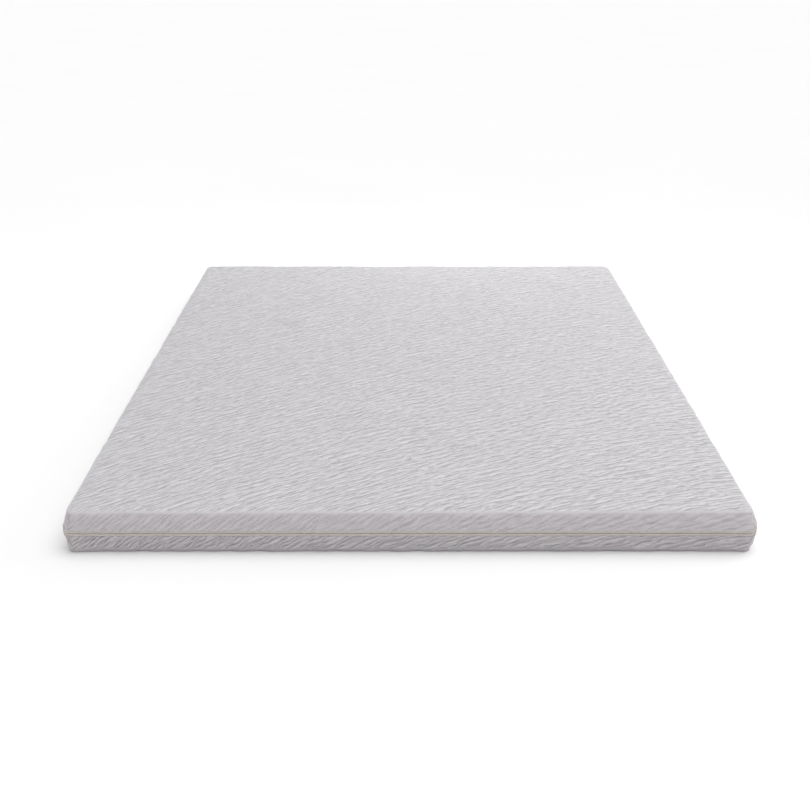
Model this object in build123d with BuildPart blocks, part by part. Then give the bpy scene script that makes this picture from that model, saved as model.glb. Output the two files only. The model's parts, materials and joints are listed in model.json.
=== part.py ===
from build123d import *
from math import atan, degrees
import os

# A thin memory foam mattress in a zipped knitted cover, in millimetres.
# Origin at the centre of the underside, +Z up, front of the mattress at -Y.
# Each half of the cover is one panel of fabric folded over the long edges and
# sewn at its four corners. A zip joins the halves all the way round at mid
# height. Inside lie two layers of foam in a thin jersey sleeve.

# Overall size
mattress_width = 1500.0
mattress_length = 2000.0
mattress_height = 100.0

# Cover and border
fabric = 2.0                # thickness of the knitted cover fabric
corner_radius = 30.0        # plan radius of the border, at the zip
top_edge_radius = 6.0       # fold between the sleeping surface and the border
bottom_edge_radius = 10.0
top_fold_inset = 8.0        # the zip stands out this far past the upper fold
bottom_fold_inset = 13.0    # and this far past the lower fold

# Zip
zip_gap = 11.0              # between the two folded fabric edges
tape_thickness = 1.0
tape_overlap = 9.0          # height of tape behind each fabric edge
chain_slit = 1.3            # between the upper and the lower coil
coil_width = 2.85           # height of one row of coil
coil_thickness = 2.5
chain_end_gap = 4.0         # between the two ends of the zip
stop_length = 3.0
sewn_gap = 0.1              # between pieces that are sewn flat together
running_gap = 0.3           # between the slider and what it runs past

# Slider and pull
slider_length = 14.0
slider_plate = 1.5
slider_lip = 1.4
slider_neck = 4.0
inner_plate_height = 9.0
arch_radius = 3.0           # centre line of the arch that holds the pull
arch_section = 1.2
arch_width = 2.4
pull_bar_radius = 0.7
pull_rise = 1.15            # hinge axis above the slider's outer plate
pull_length = 26.0
pull_tip_radius = 3.4
pull_eye_length = 5.0
pull_eye_width = 3.6
pull_arm = 1.4
pull_thickness = 1.2
pull_panel_depth = 0.25
pull_panel_margin = 1.5

# Patch over the ends of the zip, and the blank care label
patch_length = 34.0
patch_thickness = 1.5
patch_above = 7.0           # above the upper fabric edge
patch_below = 9.0           # below the lower fabric edge
patch_from_corner = 4.0
slider_from_patch = 22.0    # from the patch to the parked slider's centre
label_width = 60.0
label_height = 26.0
label_thickness = 0.4
label_place = 300.0         # from the middle of the back, towards +X

# Sleeve and foam
sleeve = 1.0                # thickness of the jersey sleeve
sleeve_clearance = 0.8      # between the cover and the sleeve
foam_clearance = 0.2        # between the sleeve and the foam
comfort_height = 40.0       # thickness of the memory foam layer
foam_corner_radius = 42.0
core_top_gap = 0.3          # between the core and the top of the cover

# Sewn margins inside the corners
seam_allowance = 5.0        # how far the sewn margins stand inwards
seam_thickness = 3.0
seam_from_fold = 12.0
seam_from_tape = 3.0
# Turn of each seam round its corner, from the long side to the short side
seam_turns = {
    "front_left": 62.0,
    "front_right": 50.0,
    "back_left": 45.0,
    "back_right": 45.0,
}
# Which way each corner lies from the middle, in X and Y
corner_ways = {
    "front_left": (-1, -1),
    "front_right": (1, -1),
    "back_left": (-1, 1),
    "back_right": (1, 1),
}

# Worked out from the sizes above
zip_height = mattress_height / 2
wall_rise = zip_height - zip_gap / 2
tape_face = coil_thickness + sewn_gap
fabric_back = tape_face - sewn_gap - fabric
upper_lean = (top_fold_inset - fabric_back) / wall_rise
lower_lean = (bottom_fold_inset - fabric_back) / wall_rise
upper_edge = zip_height + zip_gap / 2
lower_edge = zip_height - zip_gap / 2
back_face = mattress_length / 2
corner_x = mattress_width / 2 - corner_radius
corner_y = mattress_length / 2 - corner_radius
patch_x = patch_from_corner + patch_length / 2 - corner_x
slider_x = patch_x + patch_length / 2 + slider_from_patch
plate_face = back_face + running_gap + slider_plate
pull_axis_y = plate_face + pull_rise
core_inset = max(top_fold_inset, bottom_fold_inset) + fabric + sleeve_clearance
foam_inset = core_inset + sleeve + foam_clearance
core_bottom = fabric
core_top = mattress_height - fabric - core_top_gap
foam_bottom = core_bottom + sleeve + foam_clearance
foam_top = core_top - sleeve - foam_clearance
layer_joint = foam_top - comfort_height
foam_edge_radius = bottom_edge_radius - fabric


def save(piece, name):
    # Labels a finished piece and writes it to its own file.
    piece.part.label = name
    export_step(piece.part, "parts/" + name + ".step")


def outline(inset, mode=Mode.ADD):
    # The mattress outline at zip height, drawn in by an even margin.
    width = mattress_width - 2 * inset
    length = mattress_length - 2 * inset
    RectangleRounded(width, length, corner_radius - inset, mode=mode)


def lean(way):
    # How steeply the border leans in, above the zip or below it.
    return upper_lean if way > 0 else lower_lean


def leaning_block(start, way, inset, rise, fold_radius=0):
    # A solid on the outline whose sides lean in as the border does, with a round
    # fold along its far edges.
    with BuildPart() as block:
        with BuildSketch(Plane((0, 0, start), z_dir=(0, 0, way))):
            outline(inset)
        extrude(amount=rise, taper=degrees(atan(lean(way))))
        if fold_radius > 0:
            far_face = block.faces().filter_by(Axis.Z).sort_by(Axis.Z)[-1 if way > 0 else 0]
            fillet(far_face.edges(), fold_radius)
    return block.part


def cover_half(name, edge, way, fold_radius):
    # A tray of fabric, open at the zip, with a round fold along its outer edges.
    outside = leaning_block(edge, way, fabric_back, wall_rise, fold_radius)
    inside = leaning_block(edge, way, fabric_back + fabric, wall_rise - fabric, fold_radius - fabric)
    with BuildPart() as cover:
        add(outside)
        add(inside, mode=Mode.SUBTRACT)
    save(cover, name)


def cut_chain_ends(low, high, gap):
    # Opens a band round the border where the two ends of the zip meet.
    with Locations((patch_x, back_face, (low + high) / 2)):
        Box(gap, 2 * corner_radius, 2 * (high - low), mode=Mode.SUBTRACT)


def zip_tape(name, edge, way):
    # Woven tape: upright between the fabric edges, then leaning behind the fabric.
    slit_side = zip_height + way * chain_slit / 2
    outside = leaning_block(edge, way, tape_face, tape_overlap)
    inside = leaning_block(edge, way, tape_face + tape_thickness, tape_overlap)
    with BuildPart() as tape:
        add(outside)
        add(inside, mode=Mode.SUBTRACT)
        with BuildSketch(Plane.XY.offset(min(edge, slit_side))):
            outline(tape_face)
            outline(tape_face + tape_thickness, Mode.SUBTRACT)
        extrude(amount=abs(edge - slit_side))
        cut_chain_ends(zip_height - zip_gap, zip_height + zip_gap, chain_end_gap)
    save(tape, name)


def coil_ends(way):
    # Lowest and highest level of one row of coil.
    near = zip_height + way * chain_slit / 2
    far = near + way * coil_width
    return min(near, far), max(near, far)


def zip_coil(name, way):
    # One row of the coil, sewn to the outer face of its tape.
    low, high = coil_ends(way)
    with BuildPart() as coil:
        with BuildSketch(Plane.XY.offset(low)):
            outline(0)
            outline(coil_thickness, Mode.SUBTRACT)
        extrude(amount=high - low)
        cut_chain_ends(low, high, chain_end_gap + 2 * stop_length)
    save(coil, name)


def end_stops(name, way):
    # Two moulded blocks that close the ends of one row of coil.
    low, high = coil_ends(way)
    first = patch_x - (chain_end_gap + stop_length) / 2
    last = patch_x + (chain_end_gap + stop_length) / 2
    level = (low + high) / 2
    depth = back_face - coil_thickness / 2
    with BuildPart() as stops:
        with Locations((first, depth, level), (last, depth, level)):
            Box(stop_length, coil_thickness, high - low)
    save(stops, name)


def corner_seam(name, corner, edge, way):
    # The sewn margins of a corner seam, standing inwards from the fabric.
    x_way, y_way = corner_ways[corner]
    out = Vector(x_way, 0, 0).rotate(Axis.Z, x_way * y_way * seam_turns[corner])
    start = tape_overlap + seam_from_tape
    end = wall_rise - seam_from_fold
    inner_radius = corner_radius - fabric_back - fabric - sewn_gap
    plane = Plane((x_way * corner_x, y_way * corner_y, edge), out, out.cross(Vector(0, 0, way)))
    with BuildPart() as seam:
        with BuildSketch(plane):
            with BuildLine():
                Polyline(
                    (inner_radius - start * lean(way), start),
                    (inner_radius - end * lean(way), end),
                    (inner_radius - end * lean(way) - seam_allowance, end),
                    (inner_radius - start * lean(way) - seam_allowance, start),
                    close=True,
                )
            make_face()
        extrude(amount=seam_thickness / 2, both=True)
    save(seam, name)


def core_envelope(inset, bottom, top, radius):
    # A block with upright round corners and rounded edges, as the foam has.
    width = mattress_width - 2 * inset
    length = mattress_length - 2 * inset
    with BuildPart() as block:
        with BuildSketch(Plane.XY.offset(bottom)):
            RectangleRounded(width, length, foam_corner_radius + foam_inset - inset)
        extrude(amount=top - bottom)
        faces = block.faces().filter_by(Axis.Z)
        fillet(faces.edges(), radius)
    return block.part


def lower_wall(drop):
    # How far back the lower fabric's outer face lies, a drop below its edge.
    return back_face - fabric_back - drop * lower_lean


os.makedirs("parts", exist_ok=True)

# The two halves of the cover
cover_half("upper_cover", upper_edge, 1, top_edge_radius)
cover_half("lower_cover", lower_edge, -1, bottom_edge_radius)
for corner in corner_ways:
    corner_seam("upper_seam_" + corner, corner, upper_edge, 1)
    corner_seam("lower_seam_" + corner, corner, lower_edge, -1)

# The zip
zip_tape("upper_zip_tape", upper_edge, 1)
zip_tape("lower_zip_tape", lower_edge, -1)
zip_coil("upper_zip_coil", 1)
zip_coil("lower_zip_coil", -1)
end_stops("upper_end_stops", 1)
end_stops("lower_end_stops", -1)

# The slider: an outer and an inner plate joined by a neck between the coils,
# with a lip below the lower coil and an arch for the pull
lip_depth = tape_face - running_gap
inner_plate_face = back_face - tape_face - tape_thickness - running_gap
neck_start = inner_plate_face - slider_plate / 2
neck_end = back_face + running_gap + slider_plate / 2
outer_plate_height = zip_gap - 2 * running_gap
lip_level = lower_edge + running_gap + slider_lip / 2
with BuildPart() as zip_slider:
    with Locations((slider_x, plate_face - slider_plate / 2, zip_height)):
        Box(slider_length, slider_plate, outer_plate_height)
    fillet(zip_slider.edges().filter_by(Axis.Y), slider_plate)
    with Locations((slider_x, inner_plate_face - slider_plate / 2, zip_height)):
        Box(slider_length, slider_plate, inner_plate_height)
    with Locations((slider_x, (neck_start + neck_end) / 2, zip_height)):
        Box(slider_neck, neck_end - neck_start, chain_slit - 2 * running_gap)
    with Locations((slider_x, (neck_end + back_face - lip_depth) / 2, lip_level)):
        Box(slider_length - 2 * slider_plate, neck_end - back_face + lip_depth, slider_lip)
    with BuildSketch(Plane.XY.offset(zip_height)):
        with Locations((slider_x, pull_axis_y)):
            Circle(arch_radius + arch_section / 2)
        with Locations((slider_x, pull_axis_y - pull_rise / 2)):
            Rectangle(2 * arch_radius + arch_section, pull_rise)
        with Locations((slider_x, pull_axis_y)):
            Circle(arch_radius - arch_section / 2, mode=Mode.SUBTRACT)
        with Locations((slider_x, plate_face - arch_radius)):
            Rectangle(4 * arch_radius, 2 * arch_radius, mode=Mode.SUBTRACT)
        with Locations((slider_x, pull_axis_y - pull_rise / 2)):
            Rectangle(2 * arch_radius - arch_section, pull_rise, mode=Mode.SUBTRACT)
    extrude(amount=arch_width / 2, both=True)
save(zip_slider, "zip_slider")

# The pull: a flat tab with an eye, whose end bar turns under the arch
pull_plane = Plane((slider_x, pull_axis_y, zip_height), (1, 0, 0), (0, -1, 0))
eye_outer_width = pull_eye_width + 2 * pull_arm
panel_length = pull_length - pull_eye_length - 2 * pull_panel_margin - pull_arm
panel_middle = pull_eye_length + pull_arm + pull_panel_margin + panel_length / 2
with BuildPart() as zip_pull:
    with BuildSketch(pull_plane):
        with Locations((pull_length / 2, 0)):
            RectangleRounded(pull_length, eye_outer_width, eye_outer_width / 2 - running_gap)
        with Locations((pull_length - pull_tip_radius, 0)):
            Circle(pull_tip_radius)
        with Locations((0, 0)):
            Rectangle(2 * pull_eye_length, pull_eye_width, mode=Mode.SUBTRACT)
        with Locations((-pull_length / 2, 0)):
            Rectangle(pull_length, pull_length, mode=Mode.SUBTRACT)
    extrude(amount=pull_thickness / 2, both=True)
    for side in (-1, 1):
        with BuildSketch(pull_plane.offset(side * pull_thickness / 2)):
            with Locations((panel_middle, 0)):
                SlotOverall(panel_length, eye_outer_width - 2 * pull_panel_margin)
        extrude(amount=-side * pull_panel_depth, mode=Mode.SUBTRACT)
    with Locations((slider_x, pull_axis_y, zip_height)):
        Cylinder(pull_bar_radius, eye_outer_width)
save(zip_pull, "zip_pull")

# The patch of folded fabric that hides the ends of the zip: sewn to the lower
# fabric, and standing free in front of the upper half
with BuildPart() as zip_end_patch:
    with BuildSketch(Plane.YZ.offset(patch_x)):
        with BuildLine():
            Polyline(
                (lower_wall(patch_below) + sewn_gap, lower_edge - patch_below),
                (lower_wall(0) + sewn_gap, lower_edge),
                (back_face + running_gap, lower_edge + patch_thickness),
                (back_face + running_gap, upper_edge + patch_above),
                (back_face + running_gap + patch_thickness, upper_edge + patch_above),
                (back_face + running_gap + patch_thickness, lower_edge),
                (lower_wall(patch_below) + sewn_gap + patch_thickness, lower_edge - patch_below),
                close=True,
            )
        make_face()
    extrude(amount=patch_length / 2, both=True)
save(zip_end_patch, "zip_end_patch")

# The blank care label, sewn in below the zip and lying on the lower border
with BuildPart() as care_label:
    with BuildSketch(Plane.YZ.offset(label_place)):
        with BuildLine():
            Polyline(
                (lower_wall(label_height) + sewn_gap, lower_edge - label_height),
                (lower_wall(0) + sewn_gap, lower_edge),
                (lower_wall(0) + sewn_gap + label_thickness, lower_edge),
                (lower_wall(label_height) + sewn_gap + label_thickness, lower_edge - label_height),
                close=True,
            )
        make_face()
    extrude(amount=label_width / 2, both=True)
save(care_label, "care_label")

# The jersey sleeve: a tube along the mattress, closed by a boxed end each way
sleeve_skin = core_envelope(core_inset, core_bottom, core_top, foam_edge_radius + sleeve + foam_clearance)
sleeve_room = core_envelope(
    core_inset + sleeve, core_bottom + sleeve, core_top - sleeve, foam_edge_radius + foam_clearance
)
tube_length = mattress_length - 2 * (foam_inset + foam_corner_radius)
end_length = (mattress_length - tube_length) / 2
with BuildPart() as inner_sleeve:
    add(sleeve_skin)
    add(sleeve_room, mode=Mode.SUBTRACT)
    with Locations((0, 0, zip_height)):
        Box(mattress_width, tube_length, mattress_height, mode=Mode.INTERSECT)
save(inner_sleeve, "inner_sleeve")
for name, way in (("sleeve_end_front", -1), ("sleeve_end_back", 1)):
    with BuildPart() as sleeve_end:
        add(sleeve_skin)
        add(sleeve_room, mode=Mode.SUBTRACT)
        with Locations((0, way * (tube_length + end_length) / 2, zip_height)):
            Box(mattress_width, end_length, mattress_height, mode=Mode.INTERSECT)
    save(sleeve_end, name)

# The two foam layers, glued face to face
foam = core_envelope(foam_inset, foam_bottom, foam_top, foam_edge_radius)
for name, low, high in (
    ("memory_foam", layer_joint, foam_top),
    ("support_foam", foam_bottom, layer_joint),
):
    with BuildPart() as layer:
        add(foam)
        with Locations((0, 0, (low + high) / 2)):
            Box(mattress_width, mattress_length, high - low, mode=Mode.INTERSECT)
    save(layer, name)
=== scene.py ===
import json
from math import pi, radians
import bmesh
import bpy
import numpy as np
from mathutils import Euler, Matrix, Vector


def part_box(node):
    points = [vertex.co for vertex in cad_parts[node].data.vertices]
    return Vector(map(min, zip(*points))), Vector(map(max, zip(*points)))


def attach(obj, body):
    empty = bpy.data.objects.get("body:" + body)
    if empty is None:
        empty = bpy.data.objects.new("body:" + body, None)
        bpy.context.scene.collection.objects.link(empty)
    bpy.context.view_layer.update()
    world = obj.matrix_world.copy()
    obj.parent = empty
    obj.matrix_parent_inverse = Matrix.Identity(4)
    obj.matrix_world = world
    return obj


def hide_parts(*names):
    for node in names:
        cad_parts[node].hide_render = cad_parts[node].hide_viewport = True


# A thin memory foam mattress in a zipped, wave-knitted cover, built round its CAD frame.
# Everything is in metres, with the origin at the centre of the underside and the front at -Y.

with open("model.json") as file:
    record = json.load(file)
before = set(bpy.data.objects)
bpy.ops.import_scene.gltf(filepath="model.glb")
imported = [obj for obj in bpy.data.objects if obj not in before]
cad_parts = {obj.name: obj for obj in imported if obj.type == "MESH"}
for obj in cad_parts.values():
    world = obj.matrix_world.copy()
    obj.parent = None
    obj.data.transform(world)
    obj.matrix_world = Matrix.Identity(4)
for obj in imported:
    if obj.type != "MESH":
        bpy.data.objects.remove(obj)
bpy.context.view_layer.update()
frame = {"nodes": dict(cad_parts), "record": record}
record = frame["record"]
bodyOf = {node: body for body, nodes in record["behaviour"]["bodies"].items() for node in nodes}
mm = 0.001

# places that the frame gives
halfWidth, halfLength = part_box("upper_zip_coil")[1].xy  # outer faces of the zip
upperEdge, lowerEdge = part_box("upper_cover")[0].z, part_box("lower_cover")[1].z  # folded fabric edges
cornerRadius = 30 * mm  # plan radius of the border at the zip
straightX, straightY = halfWidth - cornerRadius, halfLength - cornerRadius
fabricThick = 2 * mm
print("frame loaded")


def addObject(name, data):
    new = bpy.data.objects.new(name, data)
    bpy.context.scene.collection.objects.link(new)
    return new


def makePiece(name, points, groups, uv=None, fields=None, weld=0.0):
    # groups are arrays of faces, each with one size of face; uv has a place for every face corner
    mesh = bpy.data.meshes.new(name)
    mesh.from_pydata(points.tolist(), [], [face for group in groups for face in group.tolist()])
    if uv is not None:
        places = np.concatenate([part.reshape(-1, 2) for part in uv])
        mesh.uv_layers.new(name="fabric").data.foreach_set("uv", places.ravel())
    for field, values in (fields or {}).items():
        mesh.attributes.new(field, "FLOAT", "POINT").data.foreach_set("value", values.astype(np.float32))
    work = bmesh.new()
    work.from_mesh(mesh)
    if weld:
        bmesh.ops.remove_doubles(work, verts=work.verts, dist=weld)
    if work.calc_volume(signed=True) < 0:  # faces have to point outwards
        bmesh.ops.reverse_faces(work, faces=work.faces)
    work.to_mesh(mesh)
    work.free()
    mesh.shade_smooth()
    return addObject(name, mesh)


def gridFaces(rows, columns, wrapColumns=False):
    # quads of a grid of points kept row by row
    row, column = np.meshgrid(np.arange(rows - 1), np.arange(columns - (not wrapColumns)), indexing="ij")
    after = (column + 1) % columns
    return np.stack([row * columns + column, row * columns + after,
                     (row + 1) * columns + after, (row + 1) * columns + column], -1).reshape(-1, 4)


def endFaces(rows, columns):
    # the two flat faces that close such a grid where its columns join up
    k = np.arange(columns)
    return np.stack([k[::-1], (rows - 1) * columns + k])


def gridUv(rowPlaces, columnPlaces):
    # the map of the same quads: a place for each row and each column, and one more where the
    # columns join up
    rows, columns = len(rowPlaces), len(columnPlaces)
    row, column = np.divmod(np.arange((rows - 1) * (columns - 1)), columns - 1)
    return np.stack([np.stack([rowPlaces[row + (k in (2, 3))], columnPlaces[column + (k in (1, 2))]], 1)
                     for k in range(4)], 1)


def unit(vectors):
    return vectors / np.linalg.norm(vectors, axis=1)[:, None]


def lengthAlong(points):
    # how far along the line each of its points is
    return np.concatenate([[0], np.cumsum(np.linalg.norm(np.diff(points, axis=0), axis=1))])


def settle(piece, material, nodes, body=None):
    # the piece stands for the CAD nodes, rides on their body and gets the material given
    piece.data.materials.append(material)
    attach(piece, body or bodyOf[nodes[0]])
    if nodes:
        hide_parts(*nodes)
    return piece


def smoothLine(points, spacing):
    # a smooth line through points in millimetres, brought to metres: a cubic from each to the next,
    # cut at each point and in between at about the spacing
    points = np.array(points, float) * mm
    along = lengthAlong(points)
    slope = np.gradient(points, along, axis=0)
    fine = np.linspace(0, along[-1], 400)
    k = np.clip(np.searchsorted(along, fine, side="right") - 1, 0, len(points) - 2)
    gap = (along[k + 1] - along[k])[:, None]
    t = (fine[:, None] - along[k][:, None]) / gap
    line = (points[k] * (1 + 2 * t) * (1 - t) ** 2 + slope[k] * gap * t * (1 - t) ** 2
            + points[k + 1] * t ** 2 * (3 - 2 * t) + slope[k + 1] * gap * t ** 2 * (t - 1))
    run = lengthAlong(line)
    marks = np.interp(along, fine, run)
    cuts = np.concatenate([np.linspace(a, b, max(1, round((b - a) / (spacing * mm))), endpoint=False)
                           for a, b in zip(marks[:-1], marks[1:])] + [run[-1:]])
    return np.stack([np.interp(cuts, run, line[:, 0]), np.interp(cuts, run, line[:, 1])], 1), cuts


def ease(value, low, high):
    # smooth step from 0 at low to 1 at high
    t = np.clip((value - low) / (high - low), 0, 1)
    return t * t * (3 - 2 * t)


def linear(colour):
    # an sRGB hex colour as the linear values that a shader takes
    parts = np.array([int(colour[i:i + 2], 16) / 255 for i in (1, 3, 5)])
    parts = np.where(parts <= 0.04045, parts / 12.92, ((parts + 0.055) / 1.055) ** 2.4)
    return (*parts, 1.0)


def addNode(tree, kind, settings=None, inputs=None):
    # settings are the node's own options; an input is a constant or another node's socket
    node = tree.nodes.new("ShaderNode" + kind)
    for key, value in (settings or {}).items():
        setattr(node, key, value)
    for key, value in (inputs or {}).items():
        if isinstance(value, bpy.types.NodeSocket):
            tree.links.new(value, node.inputs[key])
        else:
            node.inputs[key].default_value = value
    return node


def reckon(tree, operation, *values):
    # arithmetic on constants and sockets
    return addNode(tree, "Math", {"operation": operation}, dict(enumerate(values))).outputs[0]


def shadedMaterial(name, constants, colour=None, bumps=(), roughness=None):
    # a new material: constants go on the shader's sockets; colour and roughness are sockets that
    # a function of the tree gives; each bump is a height socket, its strength and depth in mm
    material = bpy.data.materials.new(name)
    material.use_nodes = True
    tree = material.node_tree
    shader = tree.nodes["Principled BSDF"]
    for key, value in constants.items():
        shader.inputs[key].default_value = value
    if colour:
        tree.links.new(colour(tree), shader.inputs["Base Color"])
    if roughness:
        tree.links.new(roughness(tree), shader.inputs["Roughness"])
    normal = None
    for height, strength, depth in bumps:
        bump = addNode(tree, "Bump", inputs={"Height": height(tree), "Strength": strength,
                                             "Distance": depth * mm})
        if normal:
            tree.links.new(normal, bump.inputs["Normal"])
        normal = bump.outputs["Normal"]
    if normal:
        tree.links.new(normal, shader.inputs["Normal"])
    return material


def place(tree, kind="Object", turn=0.0):
    # a place on the piece: its Object coordinates, or its own map of the fabric in metres
    if kind == "Object":
        start = addNode(tree, "TexCoord").outputs["Object"]
    else:
        start = addNode(tree, "UVMap", {"uv_map": kind}).outputs["UV"]
    mapping = addNode(tree, "Mapping", inputs={"Vector": start, "Rotation": (0, 0, radians(turn))})
    return mapping.outputs["Vector"]


def stored(tree, field):
    # a value that the piece's mesh holds
    return addNode(tree, "Attribute", {"attribute_name": field}).outputs["Fac"]


def ramp(tree, factor, stops):
    # stops are (place, hex colour) pairs
    node = addNode(tree, "ValToRGB", inputs={"Fac": factor})
    elements = node.color_ramp.elements
    while len(elements) < len(stops):
        elements.new(0.5)
    for element, (position, colour) in zip(elements, stops):
        element.position = position
        element.color = linear(colour)
    return node.outputs["Color"]


def mixed(tree, base, other, factor, blend="MIX"):
    node = addNode(tree, "Mix", {"data_type": "RGBA", "blend_type": blend}, {0: factor, 6: base})
    if isinstance(other, str):
        node.inputs[7].default_value = linear(other)
    else:
        tree.links.new(other, node.inputs[7])
    return node.outputs[2]


def noise(tree, vector, size, detail=3.0, rough=0.5):
    # size is that of one blotch, in millimetres
    return addNode(tree, "TexNoise", inputs={"Vector": vector, "Scale": 1 / (size * mm), "Detail": detail,
                                             "Roughness": rough}).outputs["Fac"]


def bands(tree, vector, pitch, axis="X", distort=0.0, size=1.0):
    # a band texture repeats every 2 pi / 20 of its scaled coordinate; pitch is in millimetres
    return addNode(tree, "TexWave", {"bands_direction": axis},
                   {"Vector": vector, "Scale": 2 * pi / (20 * pitch * mm), "Distortion": distort,
                    "Detail Scale": size, "Detail": 2.0}).outputs["Fac"]


def blotches(dark, light, size, detail, kind="Object"):
    # a colour function: two colours in blotches of a size in millimetres
    return lambda tree: ramp(tree, noise(tree, place(tree, kind), size, detail), [(0.3, dark), (0.7, light)])


def grain(size, detail, kind="Object", rough=0.5):
    # a height function: one noise of a size in millimetres
    return lambda tree: noise(tree, place(tree, kind), size, detail, rough)


def ribs(pitch, axis="X", distort=0.0, size=1.0, kind="fabric", turn=0.0):
    # a height function: bands of a pitch in millimetres
    return lambda tree: bands(tree, place(tree, kind, turn), pitch, axis, distort, size)


def remap(tree, value, low, high, outLow=0.0, outHigh=1.0):
    # any of them may be another node's socket
    return addNode(tree, "MapRange", inputs={"Value": value, "From Min": low, "From Max": high,
                                             "To Min": outLow, "To Max": outHigh}).outputs["Result"]


# camera first: it stands in front of the foot end and looks down on it
view = {
    "place": (-0.0074, -3.242, 1.2586),
    "tilt": 22.07,  # degrees below the horizon
    "turn": 0.03,  # degrees to the left
    "roll": 0.04,
    "lens": 52.27,
}
cameraData = bpy.data.cameras.new("studioCamera")
cameraData.lens = view["lens"]
cameraData.sensor_width = 36
camera = addObject("studioCamera", cameraData)
camera.location = view["place"]
camera.rotation_euler = Euler((radians(90 - view["tilt"]), radians(view["roll"]), radians(view["turn"])))
bpy.context.scene.camera = camera

# fabric pattern: rows of long low ridges that climb to the right, wandering and uneven
wavePattern = {
    "pitch": 19.0,  # millimetres from one raised ridge to the next
    "uneven": 0.28,  # spread of the pitch
    "finest": (18.5, 15.5),  # shortest wave across and along the bed that its mesh can carry
    "ripple": 10.5,  # millimetres from one of the finer ripples to the next
    "stretch": 2.8,  # how much longer than wide the ripples are
    "rippleDepth": 4.4,  # millimetres
    "climb": 30.0,  # degrees, to the right
    "fan": 23.0,  # degrees that a ridge strays from that
    "squeeze": 0.5,  # the pattern is drawn together down the border by this much
    "turnLess": 12.0,  # degrees that it climbs less on the right than on the left, per metre
    "height": 1.6,  # millimetres from valley to ridge
    "broad": 42.0,  # pitch of the broader waves under the ridges
    "broadShare": 0.2,
    "wander": 4.0,  # millimetres of slow sideways bending
    "wanderPitch": 190.0,
    "step": 2.5,  # millimetres between the points of the pattern
    "cloth": (1.75, 2.25),  # the pattern repeats at this size, which is more than the cut
    "seed": 11,
}
slack = {"pitch": 230.0, "height": 0.8, "borderPitch": 70.0, "borderHeight": 1.0}


def bandField(seed, pitch, uneven, climb=0.0, fan=None):
    # waves of one pitch and direction: white noise whose frequencies are weighed by a bell round
    # one over the pitch and a bell round the direction, then brought to unit spread
    step, (width, length) = wavePattern["step"] * mm, wavePattern["cloth"]
    shape = (round(width / step), round(length / step))
    waves = np.fft.rfft2(np.random.default_rng(seed).standard_normal(shape))
    across, along = np.meshgrid(np.fft.fftfreq(shape[0], step), np.fft.rfftfreq(shape[1], step),
                                indexing="ij")
    keep = np.exp(-((np.hypot(across, along) * pitch * mm - 1) / uneven) ** 2)
    if fan:
        turn = (np.degrees(np.arctan2(along, across)) - climb) % 180 - 90
        finestX, finestY = wavePattern["finest"]
        keep = keep * np.exp(-(turn / fan) ** 2 - (across * finestX * mm) ** 8 - (along * finestY * mm) ** 8)
    field = np.fft.irfft2(waves * keep, shape)
    return field / field.std()


def sample(field, u, v):
    # the field at any place, in straight lines between its points, repeating past its edges
    x, y = u / (wavePattern["step"] * mm), v / (wavePattern["step"] * mm)
    i, j = np.floor(x).astype(int), np.floor(y).astype(int)
    fx, fy = x - i, y - j
    rows, columns = field.shape
    i, iNext, j, jNext = i % rows, (i + 1) % rows, j % columns, (j + 1) % columns
    return ((field[i, j] * (1 - fx) + field[iNext, j] * fx) * (1 - fy)
            + (field[i, jNext] * (1 - fx) + field[iNext, jNext] * fx) * fy)


ridgeField, broadField = (
    bandField(wavePattern["seed"] + k, wavePattern[pitch], wavePattern["uneven"], wavePattern["climb"],
              wavePattern["fan"] * (1 + k))
    for k, pitch in enumerate(("pitch", "broad")))
wanderFields = [bandField(31 + k, wavePattern["wanderPitch"], 0.5) for k in (0, 1)]
slackField = np.tanh(bandField(21, slack["pitch"], 0.5))  # stays above the inside of the fabric
borderField = bandField(22, slack["borderPitch"], 0.5)


def waveAt(u, v):
    # ridge height from -1 to 1: round ridges with narrow valleys, on broader low waves; the cloth
    # is bent a little, and sheared so that its ridges climb less towards the right
    bentU = u + wavePattern["wander"] * mm * sample(wanderFields[0], u, v)
    bentV = v + wavePattern["wander"] * mm * sample(wanderFields[1], u, v)
    bentV = bentV + np.radians(wavePattern["turnLess"]) * u * u
    share = wavePattern["broadShare"]
    wave = np.tanh(1.15 * (sample(ridgeField, bentU, bentV) + share * sample(broadField, u, v)))
    return 1 - 2 * ((1 - wave) / 2) ** 1.5


# the border's course, anticlockwise from the left end of the front: each of four straight runs
# is followed by a quarter circle
runs = np.array([2 * straightX, 2 * straightY, 2 * straightX, 2 * straightY])
arcLength = cornerRadius * pi / 2
runStart = np.concatenate([[0], np.cumsum(runs + arcLength)[:3]])
borderLength = (runs + arcLength).sum()
runCorner = np.array([(-straightX, -straightY), (straightX, -straightY), (straightX, straightY),
                      (-straightX, straightY)])
aheadOf = np.array([(1, 0), (0, 1), (-1, 0), (0, -1)], float)
outOf = np.array([(0, -1), (1, 0), (0, 1), (-1, 0)], float)
seamTurn = np.radians([40.0, 45.0, 45.0, 62.0])  # of the seam round the corner after each run


def borderPath(distance):
    # centre of the arc, outward direction, run and turn round the corner, at a distance
    distance = np.mod(distance, borderLength)
    run = np.searchsorted(runStart, distance, side="right") - 1
    local = distance - runStart[run]
    turn = np.maximum(local - runs[run], 0) / cornerRadius
    centre = runCorner[run] + aheadOf[run] * np.minimum(local, runs[run])[:, None]
    out = outOf[run] * np.cos(turn)[:, None] + aheadOf[run] * np.sin(turn)[:, None]
    return centre, out, run, turn


def seamDistance(distance):
    # how far along the border the nearest corner seam is
    seams = runStart + runs + seamTurn * cornerRadius
    gap = np.abs(distance[:, None] - seams)
    return np.minimum(gap, borderLength - gap).min(1)


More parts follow.
